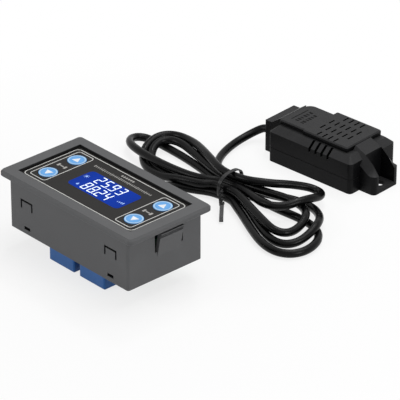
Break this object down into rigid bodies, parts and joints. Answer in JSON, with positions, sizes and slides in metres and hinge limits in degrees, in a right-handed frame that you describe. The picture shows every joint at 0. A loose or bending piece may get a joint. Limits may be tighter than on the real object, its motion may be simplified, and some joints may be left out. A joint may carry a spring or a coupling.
{
  "type": "panel temperature and humidity controller with probe",
  "caption": "Snap-in panel controller with lit display, four keys and relays behind, and a vented sensor probe on a tied lead.",
  "frame": {"origin": "centre of the panel cut-out, in the plane of the flange's underside that seats on the panel", "axes": "+X along the controller's long side to the right of the display, +Y towards the display's upper edge, +Z out of the front face"},
  "size_m": [0.1235, 0.1586, 0.0327],
  "materials": {
    "housing_grey": "fine moulded texture, satin",
    "black_plastic": "matt moulding",
    "printed_film": "satin printed film",
    "key_blue": "satin printed cap",
    "lcd_blue": "lit display under glass",
    "white_plastic": "moulded",
    "circuit_board": "solder resist",
    "tinned_metal": "tinned",
    "screw_steel": "plated",
    "relay_blue": "gloss moulding",
    "capacitor_sleeve": "shrink sleeve",
    "terminal_green": "moulded",
    "probe_black": "fine matt moulding",
    "lead_rubber": "smooth sheath",
    "tie_black": "flat strap"
  },
  "bodies": {
    "root": {"housing": "housing_grey", "front_plate": "black_plastic", "front_film": "printed_film", "display_board": "circuit_board", "power_board": "circuit_board", "probe_board": "circuit_board", "lcd_glass": "lcd_blue", "lcd_backlight": "white_plastic", "lcd_pins": "tinned_metal", "controller_chip": "black_plastic", "header_socket": "black_plastic", "header_strip": "black_plastic", "header_pins": "tinned_metal", "board_spacers": "white_plastic", "relay_1": "relay_blue", "relay_2": "relay_blue", "relay_pins": "tinned_metal", "capacitors": "capacitor_sleeve", "transistors": "black_plastic", "diodes": "black_plastic", "regulator": "black_plastic", "terminal_block": "terminal_green", "terminal_clamps": "tinned_metal", "terminal_screws": "screw_steel", "sensor_socket": "white_plastic", "sensor_socket_pins": "tinned_metal", "sensor_plug": "white_plastic", "probe_base": "probe_black", "probe_cover": "probe_black", "probe_grille": "probe_black", "sensor_element": "white_plastic", "probe_grommet": "lead_rubber", "cable_lead": "lead_rubber", "cable_probe_lead": "lead_rubber", "cable_hank": "lead_rubber", "cable_tie": "tie_black", "switch_left_up": "black_plastic", "switch_left_down": "black_plastic", "switch_right_up": "black_plastic", "switch_right_down": "black_plastic"},
    "key_left_up": {"key_left_up": "key_blue", "plunger_left_up": "black_plastic"},
    "key_left_down": {"key_left_down": "key_blue", "plunger_left_down": "black_plastic"},
    "key_right_up": {"key_right_up": "key_blue", "plunger_right_up": "black_plastic"},
    "key_right_down": {"key_right_down": "key_blue", "plunger_right_down": "black_plastic"}
  },
  "joints": [
    {"name": "left_up_press", "type": "slide", "parent": "root", "child": "key_left_up", "axis": [0, 0, -1], "range_m": [0, 0.0003], "stiffness_N_per_m": 600, "springref_m": -0.0003},
    {"name": "left_down_press", "type": "slide", "parent": "root", "child": "key_left_down", "axis": [0, 0, -1], "range_m": [0, 0.0003], "stiffness_N_per_m": 600, "springref_m": -0.0003},
    {"name": "right_up_press", "type": "slide", "parent": "root", "child": "key_right_up", "axis": [0, 0, -1], "range_m": [0, 0.0003], "stiffness_N_per_m": 600, "springref_m": -0.0003},
    {"name": "right_down_press", "type": "slide", "parent": "root", "child": "key_right_down", "axis": [0, 0, -1], "range_m": [0, 0.0003], "stiffness_N_per_m": 600, "springref_m": -0.0003}
  ]
}
